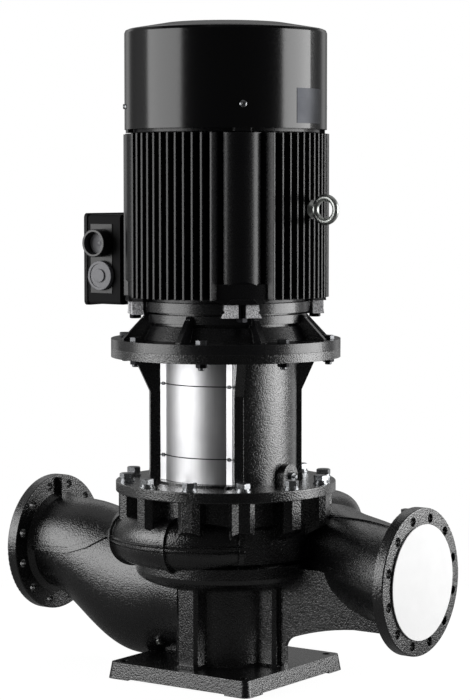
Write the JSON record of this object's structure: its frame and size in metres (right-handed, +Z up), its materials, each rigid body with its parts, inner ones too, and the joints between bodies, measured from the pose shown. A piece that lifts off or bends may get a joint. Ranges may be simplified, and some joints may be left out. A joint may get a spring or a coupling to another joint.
{
  "type": "in-line circulation pump",
  "caption": "Vertical in-line circulation pump: cast volute casing with two opposed pipe flanges, guarded lantern, and a finned flanged motor with a fan cowl on top.",
  "frame": {"origin": "centre of the foot's bolt pattern, on the underside of the foot, on the pump's axis", "axes": "+Z up along the shaft, +X along the pipe towards the discharge flange, +Y towards the side that the volute bulges to"},
  "size_m": [1.102, 0.614, 1.561],
  "materials": {
    "cast_black": "black enamel over sand-cast iron",
    "motor_black": "black gloss enamel",
    "cowl_black": "smooth black gloss enamel on pressed steel",
    "guard_steel": "bright rolled stainless sheet",
    "zinc_bolt": "bright zinc plate",
    "dark_bolt": "black oxide",
    "shaft_steel": "ground steel",
    "impeller_iron": "bare casting",
    "seal_carbon": "lapped",
    "rubber_black": "moulded",
    "core_steel": "stacked laminations",
    "winding_copper": "enamelled copper wire",
    "fan_plastic": "moulded",
    "gland_plastic": "moulded black nylon",
    "plate_aluminium": "blank printed plate",
    "board_resin": "moulded resin",
    "stud_brass": "turned",
    "cover_white": "smooth white sheet"
  },
  "bodies": {
    "pump": {"pump_casing": "cast_black", "casing_wear_ring": "stud_brass", "seal_cover": "cast_black", "cover_gasket": "rubber_black", "seal_seat": "seal_carbon", "lantern": "cast_black", "lantern_bolts": "zinc_bolt", "lantern_washers": "zinc_bolt", "guard_screws": "zinc_bolt", "vent_plug": "zinc_bolt", "flush_plug": "dark_bolt", "drain_plug": "zinc_bolt", "drive_endshield": "motor_black", "endshield_bolts": "dark_bolt", "motor_flange_bolts": "zinc_bolt", "motor_flange_nuts": "dark_bolt", "motor_frame": "motor_black", "stator_core": "core_steel", "stator_windings": "winding_copper", "drive_bearing_cap": "impeller_iron", "rear_endshield": "motor_black", "cowl_screws": "zinc_bolt", "fan_cowl": "cowl_black", "rating_plate": "plate_aluminium", "terminal_box": "motor_black", "box_gasket": "rubber_black", "box_lid": "motor_black", "lid_screws": "zinc_bolt", "terminal_board": "board_resin", "terminal_studs": "stud_brass", "cable_gland": "gland_plastic", "gland_locknut": "gland_plastic", "entry_plug": "gland_plastic", "eyebolt": "zinc_bolt", "guard_front": "guard_steel", "guard_rear": "guard_steel", "drive_bearing_outer": "shaft_steel", "fan_bearing_outer": "shaft_steel"},
    "rotor": {"motor_shaft": "shaft_steel", "rotor_core": "core_steel", "cooling_fan": "fan_plastic", "fan_clip": "shaft_steel", "drive_bearing_inner": "shaft_steel", "fan_bearing_inner": "shaft_steel", "coupling_half_front": "shaft_steel", "coupling_half_rear": "shaft_steel", "coupling_screws": "dark_bolt", "pump_shaft": "shaft_steel", "impeller": "impeller_iron", "impeller_nut": "shaft_steel", "seal_ring": "seal_carbon", "seal_bellows": "rubber_black"},
    "port_cover": {"discharge_cover": "cover_white"}
  },
  "joints": [
    {"name": "shaft_spin", "type": "hinge", "parent": "pump", "child": "rotor", "pos_m": [0, 0, 0.6], "axis": [0, 0, 1], "continuous": true},
    {"name": "cover_pull", "type": "slide", "parent": "pump", "child": "port_cover", "axis": [1, 0, 0], "range_m": [0, 0.15]}
  ]
}
